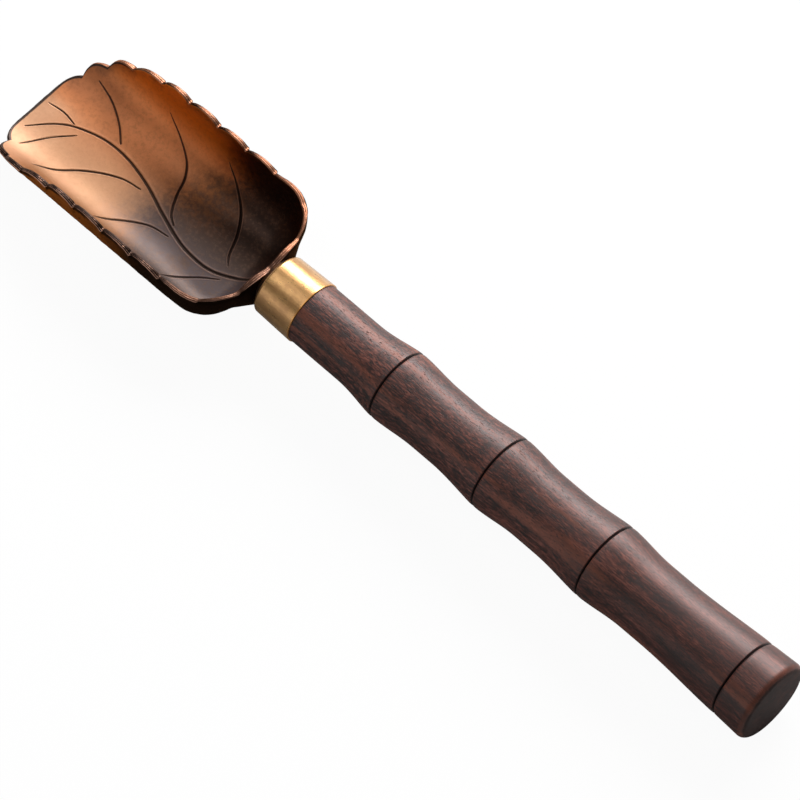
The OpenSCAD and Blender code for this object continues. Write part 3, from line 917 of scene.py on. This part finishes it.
def handle_profile():
    spigot_r, spigot_l = 5.59 * mm, 8.14 * mm
    bore_depth = 23.5 * mm
    score_w, score_h = 0.5 * mm, 0.4 * mm
    score_side, score_power = 6, 1.3
    score_reach, node_wear = score_w * 0.6, 0.04 * mm
    clear = score_w * 0.9
    butt_round = 1.3 * mm
    steps, butt_steps = 34, 10
    points = [(bore_depth, 0), (bore_depth, rod_bore_r), (-spigot_l, rod_bore_r),
              (-spigot_l, spigot_r), (0, spigot_r), (0, node_d[0] / 2)]
    for i in range(4):
        start, end = node_at[i], node_at[i + 1]
        for k in range(1, steps):
            at = mix(start, end, k / steps)
            at_ferrule = i == 0 and k < steps / 2
            if at_ferrule or start + clear < at < end - clear:
                points.append((at, wood_radius(i, k / steps)))
        for k in range(-score_side, score_side + 1):
            cut = score_h * (1 - abs(k / score_side)) ** score_power
            points.append((end + k / score_side * score_reach, node_d[i + 1] / 2 - node_wear - cut))
    for k in range(1, butt_steps):
        points.append((mix(node_at[4] + score_w, handle_l - butt_round, k / butt_steps),
                       mix(node_d[4] / 2, butt_r, k / butt_steps)))
    points += arc((handle_l - butt_round, butt_r - butt_round), butt_round, 90, 0, 10)
    points += [(handle_l, butt_r * share) for share in (0.8, 0.6, 0.4, 0.2, 0)]
    return points


def rosewood_material():
    """Short fibres and long dark streaks along the handle, with painted shade in the scores."""
    material, graph = new_material("dark_rosewood")
    x, y, z = graph.split(object_place(graph))

    def grain(stretch, scale, detail, roughness):
        lengthwise = graph.add("ShaderNodeCombineXYZ", {}, {0: x * stretch, 1: y, 2: z})
        return graph.noise(lengthwise, scale, detail, roughness)

    broad, middle, red = grain(0.07, 200, 2, 0.5), grain(0.1, 650, 3, 0.6), grain(0.06, 330, 2, 0.5)
    fine, pore = grain(0.12, 4200, 3, 0.75), graph.rise(grain(0.2, 4600, 2, 0.6), 0.59, 0.67)
    crisp = graph.rise(x, -85 * mm, 15 * mm)
    tone = broad * 0.35 + middle * 0.3 + 0.275 + (fine - 0.5) * (0.45 + crisp * 0.9)
    wood = graph.add("ShaderNodeValToRGB", {"stops": [
        (0.50, (0.005, 0.002, 0.002, 1)), (0.58, (0.030, 0.007, 0.004, 1)),
        (0.65, (0.085, 0.019, 0.011, 1)), (0.74, (0.19, 0.058, 0.038, 1))]}, {0: tone})
    behind = (shoulder_x - x) * math.cos(rise) + (shoulder_z - z) * math.sin(rise)
    # Painted shade: the scores are darkened where shade lies in them.
    score_shade = 0
    for at in node_at[1:]:
        score_shade = score_shade + (1 - graph.rise(abs(behind - at), 0.12 * mm, 0.26 * mm))
    # Painted shade on the butt's end face, turned from the light, and a painted reddish highlight
    # on its rounded edge.
    butt = graph.rise(behind, handle_l - 0.4 * mm, handle_l - 0.1 * mm)
    butt_edge_highlight = graph.rise(behind, handle_l - 1.3 * mm, handle_l - 0.7 * mm) * (1 - butt)
    colour = graph.layered(
        wood,
        (graph.rise(red, 0.54, 0.68) * 0.55, (0.22, 0.055, 0.022, 1)),
        (pore * 0.85, (0.005, 0.003, 0.003, 1)),
        (score_shade, (0.003, 0.002, 0.002, 1)),
        (butt_edge_highlight * 0.45, (0.15, 0.045, 0.024, 1)),
        (butt * 0.8, (0.016, 0.006, 0.004, 1)))
    height = (fine - pore) * (0.4 + crisp * 1.2) + middle * 0.4
    graph.surface({
        "Base Color": colour,
        "Roughness": 0.5 + pore * crisp * 0.2 + (fine - 0.5) * (0.1 + crisp * 0.3) + butt * 0.3,
        "Specular IOR Level": 0.62, "Specular Tint": (1, 0.84, 0.82, 1),
        "Normal": graph.bump(0.4, 0.04 * mm, height)})
    return material


handle = turned_piece("rosewood_handle", handle_profile(), rosewood_material(),
                      sides=160, wobble=0.07 * mm, wobble_scale=130)
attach(handle, "root")
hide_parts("handle")
